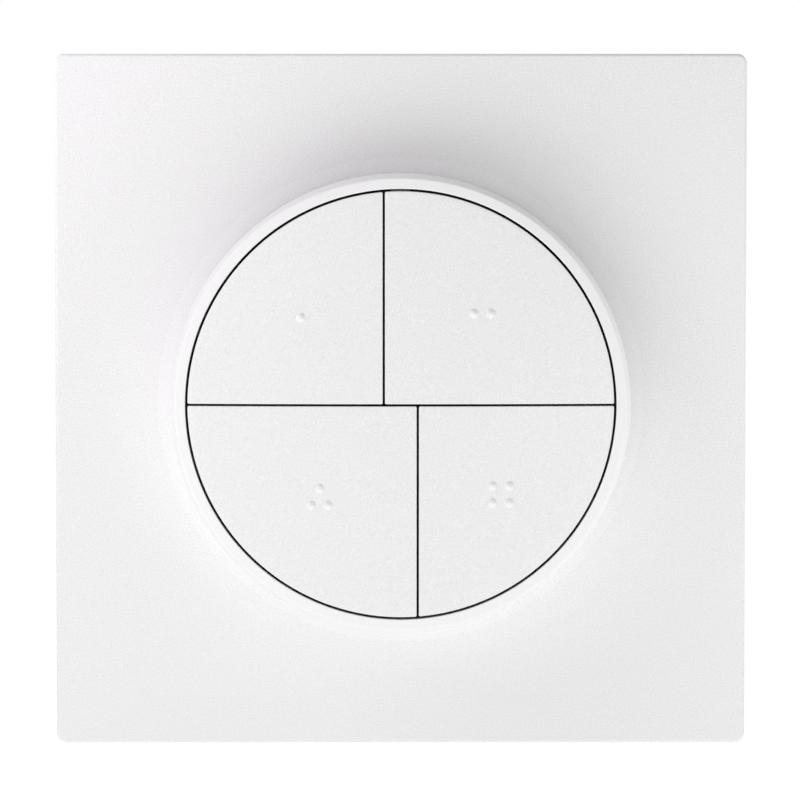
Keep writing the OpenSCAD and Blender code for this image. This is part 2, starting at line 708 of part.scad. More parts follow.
module button_cap(n) color("whitesmoke") on_wall() {
    difference() {
        intersection() {
            layer(cap_rear, dome_top + overrun) cap_plan(n, 0);
            translate([0, 0, dome_top - dome_r]) sphere(dome_r, $fn = dome_fn);
        }
        layer(cap_rear - overrun, cap_rear + cap_hollow) cap_plan(n, cap_wall_t);
    }
    at_cap(n) {
        disc(post_r, plunger_top + seam_gap, cap_rear + cap_hollow + root_in);
        translate([hook_span, 0, 0]) hook();
        translate([-hook_span, 0, 0]) rotate(180) hook();
    }
    for (step = dot_steps[n - 1]) {
        p = cap_xy(n) + dot_pitch * step;
        translate([p[0], p[1], dome_z(p) + dot_h - dot_sphere_r]) sphere(dot_sphere_r);
    }
}

adhesive_sheet();
back_plate();
cover_frame();
frame_screws();
dock();
steel_disc();
rear_cover();
magnets();
puck_screws();
battery_door();
coin_cell();
positive_contact();
negative_contact();
circuit_board();
switch_covers();
radio_board();
radio_shield();
smd_parts();
status_led();
key_frame();
front_shell();
for (n = caps) {
    switch_body(n);
    switch_plunger(n);
    button_cap(n);
}
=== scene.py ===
# Wall switch with a round magnetic puck: looks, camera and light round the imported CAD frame.
# The wall is the plane y = 0, the buttons face -Y and +Z is up. Settings are in millimetres.
import math

import bmesh
import bpy
from mathutils import Matrix, Vector


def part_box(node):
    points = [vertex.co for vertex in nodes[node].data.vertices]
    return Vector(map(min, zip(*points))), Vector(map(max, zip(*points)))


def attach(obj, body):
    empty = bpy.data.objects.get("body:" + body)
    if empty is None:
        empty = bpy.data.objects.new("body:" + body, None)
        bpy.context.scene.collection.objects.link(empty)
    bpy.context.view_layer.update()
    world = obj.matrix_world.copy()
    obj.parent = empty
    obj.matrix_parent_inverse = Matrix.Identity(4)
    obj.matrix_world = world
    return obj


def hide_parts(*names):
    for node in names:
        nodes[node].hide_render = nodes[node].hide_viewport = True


mm = 0.001
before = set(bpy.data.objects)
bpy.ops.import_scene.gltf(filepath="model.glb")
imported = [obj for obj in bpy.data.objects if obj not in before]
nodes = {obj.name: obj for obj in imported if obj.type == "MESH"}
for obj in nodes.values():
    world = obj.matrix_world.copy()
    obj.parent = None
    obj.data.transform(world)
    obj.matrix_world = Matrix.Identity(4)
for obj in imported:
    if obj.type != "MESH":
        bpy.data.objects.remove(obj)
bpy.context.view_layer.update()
print("frame loaded:", len(nodes), "CAD nodes")


def onWall(x, up, out):  # a place on the bench, out measured off the wall
    return Vector((x * mm, -out * mm, up * mm))


def reach(node):  # lowest and highest corner of a CAD node as (x, up, out) in millimetres
    low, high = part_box(node)
    return (low.x / mm, low.z / mm, -high.y / mm), (high.x / mm, high.z / mm, -low.y / mm)


# Heights off the wall and radii that the pieces share, read from the frame
plateLow, plateHigh = reach("cover_frame")
shellLow, shellHigh = reach("front_shell")
capLow, capHigh = reach("button_cap_2")
plateHalf, plateFront, plateRear = plateHigh[0], plateHigh[2], plateLow[2]
puckRadius, bezelFront, shellRear = shellHigh[0], shellHigh[2], shellLow[2]
capRadius, domeTop = capHigh[1], capHigh[2]
keyFrameFront = reach("key_frame")[1][2]
keyPanel = 1.2  # thickness of the key frame's panel
keyFrameRear = keyFrameFront - keyPanel
domeRise = domeTop - bezelFront
domeRadius = (capRadius ** 2 + domeRise ** 2) / (2 * domeRise)


def domeOut(x, up):  # height of the buttons' shared dome
    return domeTop - domeRadius + math.sqrt(domeRadius ** 2 - x * x - up * up)


def addNode(tree, kind, inputs=None, **settings):  # one node with its settings, values and links
    node = tree.nodes.new(kind)
    for key, value in settings.items():
        setattr(node, key, value)
    for key, value in (inputs or {}).items():
        if isinstance(value, bpy.types.NodeSocket):
            tree.links.new(value, node.inputs[key])
        else:
            node.inputs[key].default_value = value
    return node


def hexLinear(code):  # sRGB hex to linear colour
    channels = [int(code[i:i + 2], 16) / 255 for i in (1, 3, 5)]
    return [c / 12.92 if c <= 0.04045 else ((c + 0.055) / 1.055) ** 2.4 for c in channels] + [1]


def startMaterial(name):
    material = bpy.data.materials.new(name)
    material.use_nodes = True
    tree = material.node_tree
    tree.nodes.clear()
    shader = addNode(tree, "ShaderNodeBsdfPrincipled")
    addNode(tree, "ShaderNodeOutputMaterial", {"Surface": shader.outputs["BSDF"]})
    place = addNode(tree, "ShaderNodeTexCoord").outputs["Object"]
    return material, tree, shader, place


def dressShader(tree, shader, tone, bump=None, polish=None):  # colour, relief and changing polish
    tree.links.new(tone.outputs[2], shader.inputs["Base Color"])
    if bump:
        tree.links.new(bump.outputs["Normal"], shader.inputs["Normal"])
    if polish:
        tree.links.new(polish.outputs["Result"], shader.inputs["Roughness"])


# Moulded plastics. Each one: colour on the crests and in the pits of its grain, roughness, size and depth
# of the grain, and IOR. The darker pit colour is painted shade of the grain's relief (on the reground ABS also its
# real flecks). Spark-eroded grain is finer than a pixel, so it is drawn at about 0.2 mm to show.
plastics = {
    # ABS from a spark-eroded tool: fine matt grain that breaks up any reflection
    "sparkErodedAbs": {"crest": "#FFFFFF", "pit": "#DBDBDB", "roughness": 0.6, "grain": 0.2, "depth": 0.05,
                       "ior": 1.53},
    # ABS caps in neutral matt white; from a little below the dome the sides, back, post and hooks are near-black:
    # painted shade for the gaps
    "capAbsShadedGaps": {"crest": "#FFFFFF", "pit": "#E1E1E1", "roughness": 0.55, "grain": 0.2, "depth": 0.05,
                     "ior": 1.53, "under": "#1C1C1D", "gapShadeDepth": 0.55},
    # ABS from a stoned tool: smooth satin with a soft highlight and no grain to see
    "satinAbs": {"crest": "#F6F6F6", "pit": "#F3F3F3", "roughness": 0.36, "grain": 2.5, "depth": 0.001,
                 "ior": 1.53},
    # Satin over a light grain on the dock, whose rim shows a shade brighter than the plate round it
    "dockAbs": {"crest": "#FFFFFF", "pit": "#DFDFDF", "roughness": 0.45, "grain": 0.2, "depth": 0.03, "ior": 1.53},
    # Rear housing in the same white, left with a plain tool finish
    "toolFinishAbs": {"crest": "#EFEFED", "pit": "#E6E6E4", "roughness": 0.48, "grain": 0.4, "depth": 0.02,
                      "ior": 1.53},
    # Grey reground ABS of the back plate: flecked by the regrind, with a coarse tool finish
    "regroundAbs": {"crest": "#C2C4C5", "pit": "#A9ACAE", "roughness": 0.55, "grain": 0.5, "depth": 0.03,
                    "ior": 1.53},
    # Black glass-filled nylon: dull and very dark, with a fibrous grain
    "blackNylon": {"crest": "#232324", "pit": "#171718", "roughness": 0.62, "grain": 0.3, "depth": 0.02,
                   "ior": 1.53},
    # Acetal of the switch plungers: waxy dark grey
    "acetal": {"crest": "#2E2F33", "pit": "#25262A", "roughness": 0.4, "grain": 0.5, "depth": 0.005, "ior": 1.48},
}


melt = {"flowLength": 14, "polishDrift": 0.05, "gapShadeFade": 0.08}  # flow and polish drift shared by all the mouldings, and the fade of the caps' painted gap shade


def mouldedPlastic(name):
    look = plastics[name]
    material, tree, shader, place = startMaterial(name)
    grain = addNode(tree, "ShaderNodeTexNoise", {
        "Vector": place, "Scale": 1 / (look["grain"] * mm), "Detail": 2.5, "Roughness": 0.55})
    # painted shade: the tone follows the grain's height, darker in its pits and lighter on its crests
    tone = addNode(tree, "ShaderNodeMix", {
        0: grain.outputs["Fac"], 6: hexLinear(look["pit"]), 7: hexLinear(look["crest"])}, data_type="RGBA")
    flow = addNode(tree, "ShaderNodeTexNoise", {"Vector": place, "Scale": 1 / (melt["flowLength"] * mm), "Detail": 3})
    polish = addNode(tree, "ShaderNodeMapRange", {  # polish drifts along the flow of the melt
        "Value": flow.outputs["Fac"], "From Min": 0.3, "From Max": 0.7,
        "To Min": look["roughness"] - melt["polishDrift"], "To Max": look["roughness"] + melt["polishDrift"]})
    bump = addNode(tree, "ShaderNodeBump", {
        "Height": grain.outputs["Fac"], "Strength": 1, "Distance": look["depth"] * mm})
    if "under" in look:  # painted shade: near-black from a little way down the buttons' dome, where the gaps between the caps lie in shade
        depth = addNode(tree, "ShaderNodeVectorMath", {
            0: place, 1: onWall(0, 0, domeTop - domeRadius)}, operation="DISTANCE")
        # mask of the painted gap shade: 0 deep in the gaps, 1 on the white front
        coat = addNode(tree, "ShaderNodeMapRange", {
            "Value": depth.outputs["Value"], "From Min": (domeRadius - look["gapShadeDepth"]) * mm,
            "From Max": (domeRadius - look["gapShadeDepth"] + melt["gapShadeFade"]) * mm})
        tone = addNode(tree, "ShaderNodeMix", {
            0: coat.outputs["Result"], 6: hexLinear(look["under"]), 7: tone.outputs[2]}, data_type="RGBA")
    dressShader(tree, shader, tone, bump, polish)
    shader.inputs["IOR"].default_value = look["ior"]
    return material


# Metals. Each one: colour, tone of its streaks, roughness, streak width and length, depth.
metals = {
    # Zinc-plated sheet steel: cool grey with faint rolling streaks
    "zincSheet": {"colour": "#B9BDC2", "drift": "#A3A8AF", "roughness": 0.34, "streak": (0.5, 9), "depth": 0.002},
    # Bright zinc on cold-formed screws: fine streaks, crisp highlights
    "zincScrew": {"colour": "#C6C8CA", "drift": "#A9ACB0", "roughness": 0.28, "streak": (0.2, 1.2), "depth": 0.002},
    # Nickel on sintered magnets: a warm near-mirror with an orange-peel ripple
    "nickelPlate": {"colour": "#C9C5BC", "drift": "#BDB8AE", "roughness": 0.16, "streak": (0.7, 0.7),
                    "depth": 0.003},
    # Drawn stainless can of the cell: satin with fine circular draw lines
    "drawnStainless": {"colour": "#C9CACB", "drift": "#B3B5B7", "roughness": 0.25, "streak": (0.25, 6),
                       "depth": 0.0015},
    # Nickel-plated phosphor bronze springs: pale gold
    "springBronze": {"colour": "#CDBE9A", "drift": "#BDAE8A", "roughness": 0.3, "streak": (0.2, 3), "depth": 0.001},
    # Tinned shield and switch covers: soft bright grey
    "tinPlate": {"colour": "#C4C7C9", "drift": "#B2B6BA", "roughness": 0.38, "streak": (0.4, 2.5), "depth": 0.0015},
}


streakPolish = 0.06  # how far the streaks change a metal's roughness


def platedMetal(name):
    look = metals[name]
    material, tree, shader, place = startMaterial(name)
    width, length = look["streak"]
    drawn = addNode(tree, "ShaderNodeMapping", {"Vector": place, "Scale": (
        1 / (length * mm), 1 / (width * mm), 1 / (width * mm))})
    streak = addNode(tree, "ShaderNodeTexNoise", {"Vector": drawn.outputs["Vector"], "Scale": 1, "Detail": 4})
    tone = addNode(tree, "ShaderNodeMix", {
        0: streak.outputs["Fac"], 6: hexLinear(look["colour"]), 7: hexLinear(look["drift"])}, data_type="RGBA")
    polish = addNode(tree, "ShaderNodeMapRange", {
        "Value": streak.outputs["Fac"], "From Min": 0.3, "From Max": 0.7,
        "To Min": look["roughness"] - streakPolish, "To Max": look["roughness"] + streakPolish})
    bump = addNode(tree, "ShaderNodeBump", {
        "Height": streak.outputs["Fac"], "Strength": 1, "Distance": look["depth"] * mm})
    dressShader(tree, shader, tone, bump, polish)
    shader.inputs["Metallic"].default_value = 1
    return material


def foamTape():  # closed-cell PE foam with a tacky skin: grey, dull, pitted by its cells
    look = {"colour": "#A6A9AD", "pit": "#8B8E93", "cell": 0.45, "depth": 0.05, "roughness": 0.85}
    material, tree, shader, place = startMaterial("closedCellFoam")
    cells = addNode(tree, "ShaderNodeTexVoronoi", {"Vector": place, "Scale": 1 / (look["cell"] * mm)})
    # painted shade: the tone follows the cells' depth, darker in their hollows
    tone = addNode(tree, "ShaderNodeMix", {
        0: cells.outputs["Distance"], 6: hexLinear(look["pit"]), 7: hexLinear(look["colour"])}, data_type="RGBA")
    bump = addNode(tree, "ShaderNodeBump", {
        "Height": cells.outputs["Distance"], "Strength": 0.6, "Distance": look["depth"] * mm})
    dressShader(tree, shader, tone, bump)
    shader.inputs["Roughness"].default_value = look["roughness"]
    return material


def solderMask():  # green epoxy mask over copper tracks: glossy, tracks paler and slightly raised
    look = {"mask": "#0F5A33", "track": "#2A8050", "pitch": 2.2, "trackShare": 0.16, "rise": 0.03,
            "roughness": 0.28}
    material, tree, shader, place = startMaterial("solderMask")
    net = addNode(tree, "ShaderNodeTexVoronoi", {
        "Vector": place, "Scale": 1 / (look["pitch"] * mm), "Randomness": 0.7}, feature="DISTANCE_TO_EDGE")
    track = addNode(tree, "ShaderNodeMapRange", {
        "Value": net.outputs["Distance"], "From Min": look["trackShare"], "From Max": look["trackShare"] * 0.7})
    tone = addNode(tree, "ShaderNodeMix", {
        0: track.outputs["Result"], 6: hexLinear(look["mask"]), 7: hexLinear(look["track"])}, data_type="RGBA")
    bump = addNode(tree, "ShaderNodeBump", {
        "Height": track.outputs["Result"], "Strength": 0.5, "Distance": look["rise"] * mm})
    dressShader(tree, shader, tone, bump)
    shader.inputs["Roughness"].default_value = look["roughness"]
    return material


def ceramicChip():  # fired ceramic and black epoxy parts: tan-brown, fine speckle, half matt
    look = {"colour": "#8C7355", "speckle": "#6F5B45", "grit": 0.15, "roughness": 0.5}
    material, tree, shader, place = startMaterial("firedCeramic")
    speckle = addNode(tree, "ShaderNodeTexNoise", {"Vector": place, "Scale": 1 / (look["grit"] * mm), "Detail": 4})
    tone = addNode(tree, "ShaderNodeMix", {
        0: speckle.outputs["Fac"], 6: hexLinear(look["colour"]), 7: hexLinear(look["speckle"])}, data_type="RGBA")
    dressShader(tree, shader, tone)
    shader.inputs["Roughness"].default_value = look["roughness"]
    return material


def milkyEpoxy():  # diffusing lens of the status light: milky, waxy, slightly see-through
    look = {"colour": "#F4F2EA", "cloud": "#E6E3D8", "drift": 0.5, "roughness": 0.3, "clear": 0.25}
    material, tree, shader, place = startMaterial("milkyEpoxy")
    cloud = addNode(tree, "ShaderNodeTexNoise", {"Vector": place, "Scale": 1 / (look["drift"] * mm), "Detail": 2})
    tone = addNode(tree, "ShaderNodeMix", {
        0: cloud.outputs["Fac"], 6: hexLinear(look["colour"]), 7: hexLinear(look["cloud"])}, data_type="RGBA")
    dressShader(tree, shader, tone)
    shader.inputs["Roughness"].default_value = look["roughness"]
    shader.inputs["Transmission Weight"].default_value = look["clear"]
    return material


finish = {name: mouldedPlastic(name) for name in plastics}
finish.update({name: platedMetal(name) for name in metals})
finish.update(foam=foamTape(), board=solderMask(), ceramic=ceramicChip(), lens=milkyEpoxy())
print("materials:", len(finish))


def plainMesh(piece):  # the object's evaluated mesh, with its modifiers used up
    graph = bpy.context.evaluated_depsgraph_get()
    made = bpy.data.meshes.new_from_object(piece.evaluated_get(graph))
    piece.modifiers.clear()
    return made


def showPiece(name, mesh, material, body, replaced=(), crease=40):
    piece = bpy.data.objects.new(name, mesh)
    bpy.context.scene.collection.objects.link(piece)
    mesh.materials.clear()
    mesh.materials.append(finish[material])
    mesh.shade_smooth()
    mesh.set_sharp_from_angle(angle=math.radians(crease))
    piece.modifiers.new("flatFaces", "WEIGHTED_NORMAL").keep_sharp = True  # large faces stay flat to the light
    piece.data = plainMesh(piece)
    piece.data.name = name
    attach(piece, body)
    if replaced:
        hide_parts(*replaced)
    return piece


def meshFrom(bm):  # closes a bmesh into a mesh whose faces point outwards
    bmesh.ops.recalc_face_normals(bm, faces=bm.faces)
    mesh = bpy.data.meshes.new("piece")
    bm.to_mesh(mesh)
    bm.free()
    return mesh


def loft(bm, loops, closed=False, capStart=False, capEnd=False):  # skins loops of equal count
    rows = [[bm.verts.new(point) for point in loop] for loop in loops]
    for a, b in list(zip(rows, rows[1:])) + ([(rows[-1], rows[0])] if closed else []):
        for i in range(len(a)):
            j = (i + 1) % len(a)
            bm.faces.new((a[i], a[j], b[j], b[i]))
    for wanted, row in ((capStart, rows[0]), (capEnd, rows[-1])):
        if wanted:
            bm.faces.new(row)


def startTree(name, sockets):  # Geometry Nodes tree with its named inputs
    tree = bpy.data.node_groups.new(name, "GeometryNodeTree")
    tree.interface.new_socket("Geometry", in_out="INPUT", socket_type="NodeSocketGeometry")
    for socket, kind in sockets.items():
        tree.interface.new_socket(socket, in_out="INPUT", socket_type=kind)
    tree.interface.new_socket("Geometry", in_out="OUTPUT", socket_type="NodeSocketGeometry")
    return tree, addNode(tree, "NodeGroupInput").outputs


def endTree(tree, given, mesh):  # last nodes of each tree: real mesh, smooth, with its material
    real = addNode(tree, "GeometryNodeRealizeInstances", {"Geometry": mesh})
    smooth = addNode(tree, "GeometryNodeSetShadeSmooth", {"Geometry": real.outputs["Geometry"]})
    coat = addNode(tree, "GeometryNodeSetMaterial", {
        "Geometry": smooth.outputs["Geometry"], "Material": given["Material"]})
    addNode(tree, "NodeGroupOutput", {"Geometry": coat.outputs["Geometry"]})
    return tree


def pointMesh(places):  # bare points for a tree to set pieces on
    mesh = bpy.data.meshes.new("places")
    mesh.from_pydata(places, [], [])
    return mesh


def runTree(tree, mesh, values):  # sets inputs by identifier, evaluates and keeps a plain mesh
    carrier = bpy.data.objects.new("carrier", mesh)
    bpy.context.scene.collection.objects.link(carrier)
    nodesModifier = carrier.modifiers.new("tree", "NODES")
    nodesModifier.node_group = tree
    for item in tree.interface.items_tree:
        if item.in_out == "INPUT" and item.name in values:
            nodesModifier[item.identifier] = values[item.name]
    made = plainMesh(carrier)
    bpy.data.objects.remove(carrier)
    bm = bmesh.new()
    bm.from_mesh(made)
    bmesh.ops.remove_doubles(bm, verts=bm.verts, dist=0.0005 * mm)
    return meshFrom(bm)


def latheTree():  # turns a section about the puck's axis, with each corner's own rounding
    tree, given = startTree("latheTree", {
        "Path radius": "NodeSocketFloat", "Segments": "NodeSocketInt", "Fillet steps": "NodeSocketInt",
        "Material": "NodeSocketMaterial"})
    inward = addNode(tree, "ShaderNodeVectorMath", {0: given["Path radius"], 1: (-1, 0, 0)}, operation="MULTIPLY")
    shifted = addNode(tree, "GeometryNodeTransform", {
        "Geometry": given["Geometry"], "Translation": inward.outputs["Vector"]})
    section = addNode(tree, "GeometryNodeMeshToCurve", {"Mesh": shifted.outputs["Geometry"]})
    rounding = addNode(tree, "GeometryNodeInputNamedAttribute", {"Name": "rounding"}, data_type="FLOAT")
    eased = addNode(tree, "GeometryNodeFilletCurve", {
        "Curve": section.outputs["Curve"], "Count": given["Fillet steps"],
        "Radius": rounding.outputs["Attribute"], "Limit Radius": True}, mode="POLY")
    path = addNode(tree, "GeometryNodeCurvePrimitiveCircle", {
        "Resolution": given["Segments"], "Radius": given["Path radius"]})
    turned = addNode(tree, "GeometryNodeCurveToMesh", {
        "Curve": path.outputs["Curve"], "Profile Curve": eased.outputs["Curve"]})
    stood = addNode(tree, "GeometryNodeTransform", {
        "Geometry": turned.outputs["Mesh"], "Rotation": (math.radians(90), 0, 0)})
    return endTree(tree, given, stood.outputs["Geometry"])


def turnedMesh(section, segments, material):  # section: (radius, out, rounding) round the profile
    mesh = bpy.data.meshes.new("section")
    count = len(section)
    mesh.from_pydata([(r * mm, -out * mm, 0) for r, out, _ in section],
                     [(i, (i + 1) % count) for i in range(count)], [])
    rounding = mesh.attributes.new("rounding", "FLOAT", "POINT")
    rounding.data.foreach_set("value", [edge * mm for _, _, edge in section])
    middle = sum(r for r, _, _ in section) / count
    return runTree(lathe, mesh, {"Path radius": middle * mm, "Segments": segments, "Fillet steps": 8,
                                 "Material": finish[material]})


lathe = latheTree()

# Puck shell: side wall and bezel, turned
shell = {"bezelWidth": 1.8, "bezelFall": 0.2, "bevelWidth": 0.5, "bevelDepth": 1.2, "outerEdge": 0.3,
         "bevelFoot": 0.6, "innerEdge": 0.1, "rearEdge": 0.15, "shoulder": 0.4, "segments": 256,
         "keyWidth": 2.4, "keyDepth": 0.9, "keyRoot": 0.3, "keyEase": 0.1}
openingRadius = puckRadius - shell["bezelWidth"]
shellInside = openingRadius + shell["shoulder"]
bezelBrim = bezelFront - shell["bezelFall"]  # the bezel goes on falling outwards as the buttons' dome does
shellMesh = turnedMesh([
    (puckRadius, shellRear, shell["rearEdge"]), (puckRadius, bezelBrim - shell["bevelDepth"], shell["bevelFoot"]),
    (puckRadius - shell["bevelWidth"], bezelBrim, shell["outerEdge"]),
    (openingRadius, bezelFront, shell["innerEdge"]), (openingRadius, keyFrameFront, 0),
    (shellInside, keyFrameFront, 0), (shellInside, shellRear, shell["rearEdge"])], shell["segments"], "satinAbs")
bm = bmesh.new()
bm.from_mesh(shellMesh)
ribHalf, ribEase = shell["keyWidth"] / 2, shell["keyEase"]
ribFoot, ribTip = shellInside + shell["keyRoot"], shellInside - shell["keyDepth"]
ribSection = [(-ribHalf, ribFoot), (-ribHalf, ribTip + ribEase), (-ribHalf + ribEase, ribTip),
              (ribHalf - ribEase, ribTip), (ribHalf, ribTip + ribEase), (ribHalf, ribFoot)]
loft(bm, [[onWall(x, up, out) for x, up in ribSection] for out in (keyFrameFront, keyFrameRear)],
     capStart=True, capEnd=True)
shellMesh = meshFrom(bm)
showPiece("puckShell", shellMesh, "satinAbs", "puck", ["front_shell"])
print("puck shell turned:", len(shellMesh.polygons), "faces")


def squareLoop(half, corner, out, sideSteps, cornerSteps):  # rounded square, counted from the right side
    points = []
    for quarter in range(4):
        turn = Matrix.Rotation(math.radians(90 * quarter), 2)
        flat = half - corner
        side = [(half, math.tan(math.radians(45 * (2 * k / sideSteps - 1))) * flat) for k in range(sideSteps)]
        arc = [(flat + corner * math.cos(a), flat + corner * math.sin(a))
               for a in (math.radians(90 * k / cornerSteps) for k in range(cornerSteps))]
        points += [onWall(*(turn @ Vector(p)), out) for p in side + arc]
    return points


def roundLoop(radius, out, like):  # circle whose points lie at the angles of another loop
    angles = [math.atan2(point.z, point.x) for point in like]
    return [onWall(radius * math.cos(a), radius * math.sin(a), out) for a in angles]


# Cover frame: square plate with eased front edges, a collar behind the opening, bosses and ribs
cover = {"corner": 1.2, "edge": 0.4, "skirt": 2, "panel": 2, "opening": 30.3, "collar": 1.52, "collarRear": 4.05,
         "rearEase": 0.15, "insideCorner": 0.3, "sideSteps": 60, "cornerSteps": 12, "edgeSteps": 6}


def coverFrame():
    steps = (cover["sideSteps"], cover["cornerSteps"])
    inside = plateHalf - cover["skirt"]
    panelRear = plateFront - cover["panel"]
    ease, edge = cover["rearEase"], cover["edge"]
    loops = [squareLoop(plateHalf - ease, cover["corner"] - ease, plateRear, *steps),
             squareLoop(plateHalf, cover["corner"], plateRear + ease, *steps)]
    for k in range(cover["edgeSteps"] + 1):
        a = math.radians(90 * k / cover["edgeSteps"])
        inset = edge * (1 - math.cos(a))
        loops.append(squareLoop(plateHalf - inset, cover["corner"] - inset,
                                plateFront - edge + edge * math.sin(a), *steps))
    like = loops[-1]
    loops += [roundLoop(cover["opening"], plateFront, like),
              roundLoop(cover["opening"], cover["collarRear"], like),
              roundLoop(cover["opening"] + cover["collar"], cover["collarRear"], like),
              roundLoop(cover["opening"] + cover["collar"], panelRear, like),
              squareLoop(inside, cover["insideCorner"], panelRear, *steps),
              squareLoop(inside, cover["insideCorner"], plateRear, *steps)]
    bm = bmesh.new()
    loft(bm, loops, closed=True)
    return meshFrom(bm)


def ribTree():  # bars that start at a radius and run outwards, one for each point's direction
    tree, given = startTree("ribTree", {
        "Start": "NodeSocketFloat", "End": "NodeSocketFloat", "Thickness": "NodeSocketFloat",
        "Depth": "NodeSocketFloat", "Material": "NodeSocketMaterial"})
    length = addNode(tree, "ShaderNodeMath", {0: given["End"], 1: given["Start"]}, operation="SUBTRACT")
    size = addNode(tree, "ShaderNodeCombineXYZ", {
        "X": length.outputs["Value"], "Y": given["Depth"], "Z": given["Thickness"]})
    bar = addNode(tree, "GeometryNodeMeshCube", {"Size": size.outputs["Vector"], "Vertices X": 3})
    reachOut = addNode(tree, "ShaderNodeMath", {0: given["End"], 1: given["Start"]}, operation="ADD")
    halfWay = addNode(tree, "ShaderNodeMath", {0: reachOut.outputs["Value"], 1: 0.5}, operation="MULTIPLY")
    shift = addNode(tree, "ShaderNodeCombineXYZ", {"X": halfWay.outputs["Value"]})
    moved = addNode(tree, "GeometryNodeTransform", {
        "Geometry": bar.outputs["Mesh"], "Translation": shift.outputs["Vector"]})
    heading = addNode(tree, "GeometryNodeInputNamedAttribute", {"Name": "heading"}, data_type="FLOAT_VECTOR")
    points = addNode(tree, "GeometryNodeMeshToPoints", {"Mesh": given["Geometry"]})
    facing = addNode(tree, "FunctionNodeAlignRotationToVector", {"Vector": heading.outputs["Attribute"]}, axis="X")
    placed = addNode(tree, "GeometryNodeInstanceOnPoints", {
        "Points": points.outputs["Points"], "Instance": moved.outputs["Geometry"],
        "Rotation": facing.outputs["Rotation"]})
    return endTree(tree, given, placed.outputs["Instances"])


def pointsWith(places, headings):  # points for a tree, each with the direction it faces
    mesh = pointMesh(places)
    heading = mesh.attributes.new("heading", "FLOAT_VECTOR", "POINT")
    heading.data.foreach_set("vector", [c for h in headings for c in h])
    return mesh


def joined(*meshes):  # several closed shells as one mesh
    bm = bmesh.new()
    for mesh in meshes:
        bm.from_mesh(mesh)
    return meshFrom(bm)


def spread(mesh, places):  # copies of a turned piece at several places
    bm = bmesh.new()
    for place in places:
        start = len(bm.verts)
        bm.from_mesh(mesh)
        bm.verts.ensure_lookup_table()
        bmesh.ops.translate(bm, verts=bm.verts[start:], vec=place)
    return meshFrom(bm)


# Rear of the cover frame: screw bosses at the corners, ribs on the middle lines
coverBack = {"bossRadius": 3, "bossHole": 1.05, "bossRear": 2.85, "bossEdge": 0.2, "holeEdge": 0.1, "segments": 48,
             "ribStart": 33.2, "ribThickness": 1.2, "root": 0.4, "screwPlace": 33.5}
corners = [onWall(x * coverBack["screwPlace"], up * coverBack["screwPlace"], 0) for x in (-1, 1) for up in (-1, 1)]
panelFoot = plateFront - cover["panel"] + coverBack["root"]
boss = turnedMesh([(coverBack["bossHole"], coverBack["bossRear"], coverBack["holeEdge"]),
                   (coverBack["bossRadius"], coverBack["bossRear"], coverBack["bossEdge"]),
                   (coverBack["bossRadius"], panelFoot, 0), (coverBack["bossHole"], panelFoot, 0)],
                  coverBack["segments"], "sparkErodedAbs")
ribMiddle = (coverBack["bossRear"] + panelFoot) / 2
directions = [(1, 0, 0), (0, 0, 1), (-1, 0, 0), (0, 0, -1)]
ribs = runTree(ribTree(), pointsWith([onWall(0, 0, ribMiddle)] * 4, directions), {
    "Start": coverBack["ribStart"] * mm, "End": (plateHalf - cover["skirt"] + coverBack["root"]) * mm,
    "Thickness": coverBack["ribThickness"] * mm, "Depth": (panelFoot - coverBack["bossRear"]) * mm,
    "Material": finish["sparkErodedAbs"]})
showPiece("coverFrame", joined(coverFrame(), spread(boss, corners), ribs), "sparkErodedAbs", "base",
          ["cover_frame"], crease=35)
print("cover frame lofted, with", len(corners), "bosses and", len(directions), "ribs")

# Button caps: one dome split by the gaps, each cap with an eased edge, hollow back, post and hooks
caps = {"trim": 0.01, "edge": 0.1, "corner": 0.18, "leastCorner": 0.04, "depth": 1.8, "hollow": 0.5, "wall": 1.2,
        "rearEase": 0.1, "rings": 20, "arcSteps": 72, "lineSteps": 24, "cornerSteps": 4, "edgeSteps": 4,
        "root": 0.4, "post": 2, "postEase": 0.2, "postGap": 0.05, "postSteps": 48, "hookSpan": 7, "hookWidth": 3,
        "hookLeg": 1, "hookBarb": 0.5, "hookBarbHeight": 1.1, "hookEase": 0.1, "hookLead": 0.06}


def capOutline(eu, ev, inset):  # outline in the cap's own quarter: two straight edges and the arc
    inset += caps["trim"]
    rim, u0, v0 = capRadius - inset, eu + inset, ev + inset
    corner = max(caps["corner"] - inset, caps["leastCorner"])
    uEnd = math.sqrt((rim - corner) ** 2 - (v0 + corner) ** 2)
    vEnd = math.sqrt((rim - corner) ** 2 - (u0 + corner) ** 2)
    low, high = math.atan2(v0 + corner, uEnd), math.atan2(vEnd, u0 + corner)

    def arc(centre, radius, start, stop, steps):
        return [(centre[0] + radius * math.cos(start + (stop - start) * k / steps),
                 centre[1] + radius * math.sin(start + (stop - start) * k / steps)) for k in range(steps)]

    def line(a, b, steps):
        return [(a[0] + (b[0] - a[0]) * k / steps, a[1] + (b[1] - a[1]) * k / steps) for k in range(steps)]

    quarter = math.pi / 2
    return (arc((u0 + corner, v0 + corner), corner, 2 * quarter, 3 * quarter, caps["cornerSteps"])
            + line((u0 + corner, v0), (uEnd, v0), caps["lineSteps"])
            + arc((uEnd, v0 + corner), corner, -quarter, low, caps["cornerSteps"])
            + arc((0, 0), rim, low, high, caps["arcSteps"])
            + arc((u0 + corner, vEnd), corner, high, 2 * quarter, caps["cornerSteps"])
            + line((u0, vEnd), (u0, v0 + corner), caps["lineSteps"]))


